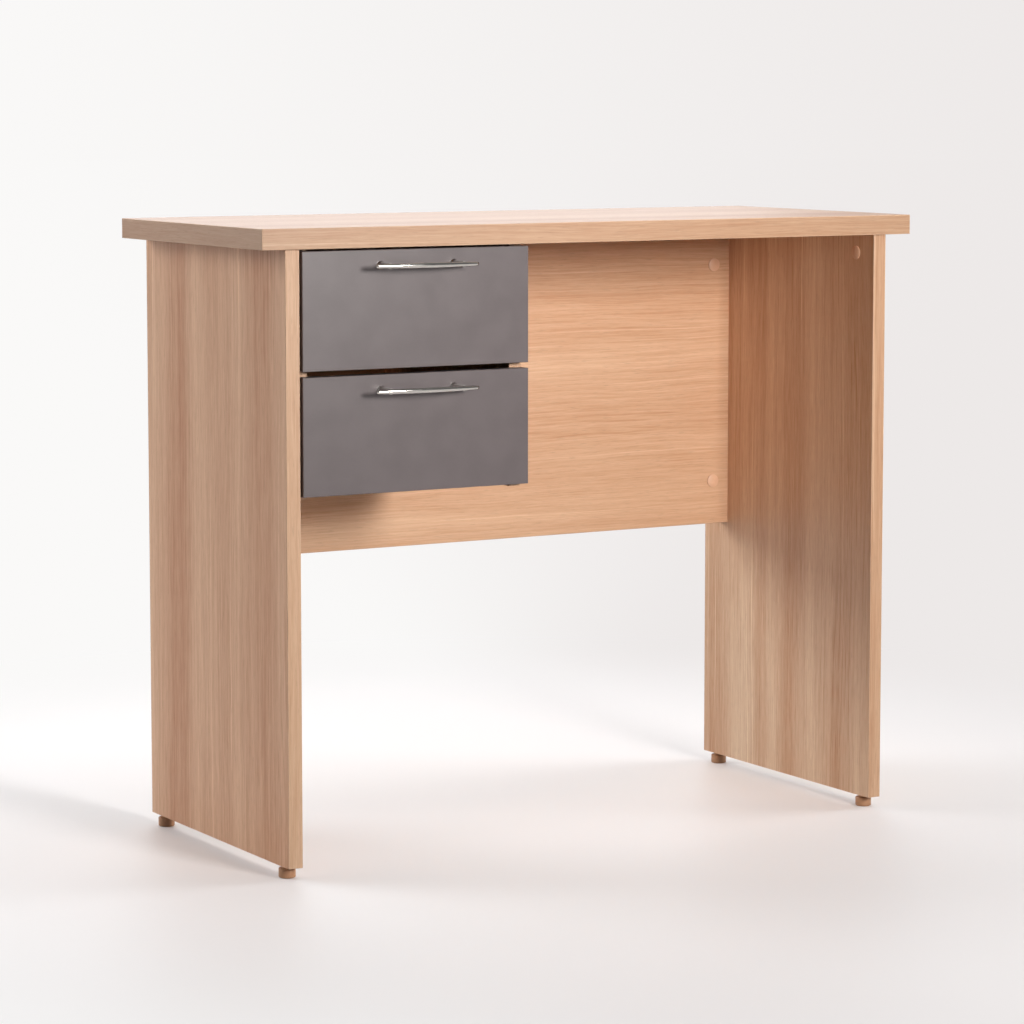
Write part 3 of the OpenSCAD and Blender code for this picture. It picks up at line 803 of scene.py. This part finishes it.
def make_world():
    """The camera sees a pale backdrop, while the desk is lit by a room that is darker in front"""
    world = bpy.data.worlds.new("studio")
    world.use_nodes = True
    tree = world.node_tree
    tree.nodes.clear()
    direction = add(tree, "TexCoord").outputs["Generated"]
    seen = add(tree, "Background", {"Color": pale(tree, direction), "Strength": 1.0}).outputs[0]
    parts = add(tree, "SeparateXYZ", {0: direction}).outputs
    rays = add(tree, "LightPath").outputs
    is_diffuse = rays["Is Diffuse Ray"]
    back = add(tree, "MapRange", {0: is_diffuse, 3: BACK_SHEEN, 4: BACK_GLOW}).outputs[0]
    front = add(tree, "MapRange", {0: is_diffuse, 3: FRONT_SHEEN, 4: FRONT_GLOW}).outputs[0]
    behind = ramp(tree, parts[Y], -0.4, 0.4)
    strength = add(tree, "MapRange", {0: behind, 3: front, 4: back}).outputs[0]
    room = add(tree, "Background", {"Color": ROOM, "Strength": strength}).outputs[0]
    mix = add(tree, "MixShader", {0: rays["Is Camera Ray"], 1: room, 2: seen}).outputs[0]
    out = tree.nodes.new("ShaderNodeOutputWorld")
    tree.links.new(mix, out.inputs[0])
    bpy.context.scene.world = world


def make_floor():
    """A pale sweep that fades into the backdrop away from the desk"""
    shell = bmesh.new()
    bmesh.ops.create_circle(shell, cap_ends=True, radius=FLOOR_RADIUS, segments=96)
    floor = bpy.data.objects.new("floor", to_mesh(shell, "floor"))
    bpy.context.scene.collection.objects.link(floor)
    material, tree, shader = new_material("floor", Roughness=0.5)
    position = add(tree, "TexCoord").outputs["Object"]
    away = add(tree, "VectorMath", {0: position}, operation="LENGTH").outputs["Value"]
    direction = add(tree, "VectorMath", {0: position}, operation="NORMALIZE").outputs[0]
    is_diffuse = add(tree, "LightPath").outputs["Is Diffuse Ray"]
    tree.links.new(blend(tree, is_diffuse, FLOOR_PAINT, FLOOR_BOUNCE), shader.inputs["Base Color"])
    strength = add(tree, "MapRange", {0: is_diffuse, 3: 1.0, 4: FLOOR_GLOW}).outputs[0]
    glow = add(tree, "Emission", {"Color": pale(tree, direction), "Strength": strength}).outputs[0]
    faded = ramp(tree, away, FADE_FROM, FADE_TO)
    mix = add(tree, "MixShader", {0: faded, 1: shader.outputs[0], 2: glow}).outputs[0]
    tree.links.new(mix, tree.nodes["Material Output"].inputs[0])
    floor.data.materials.append(material)


def add_light(name, at, towards, size, energy, colour=(1, 1, 1), spread=180, glossy=False):
    data = bpy.data.lights.new(name, "AREA")
    data.shape = "RECTANGLE"
    data.size, data.size_y = size
    data.energy = energy
    data.spread = radians(spread)
    data.color = colour
    light = bpy.data.objects.new(name, data)
    light.location = at
    light.rotation_euler = (Vector(towards) - Vector(at)).to_track_quat("-Z", "Y").to_euler()
    light.visible_camera = False
    light.visible_glossy = glossy
    bpy.context.scene.collection.objects.link(light)


def main():
    make_camera()
    looks = make_materials()
    make_boards(looks)
    make_bands(looks)
    make_pedestal_bands(looks)
    for drawer in DRAWERS:
        make_drawer(drawer, looks)
        make_bar(drawer + "_handle_bar", looks)
        make_posts(drawer + "_handle_posts", looks)
    make_fittings(looks)
    make_world()
    make_floor()
    for name, (at, towards, size, energy, settings) in LIGHTS.items():
        add_light(name, at, towards, size, energy, **settings)
    bpy.context.scene.view_settings.view_transform = "Standard"


main()
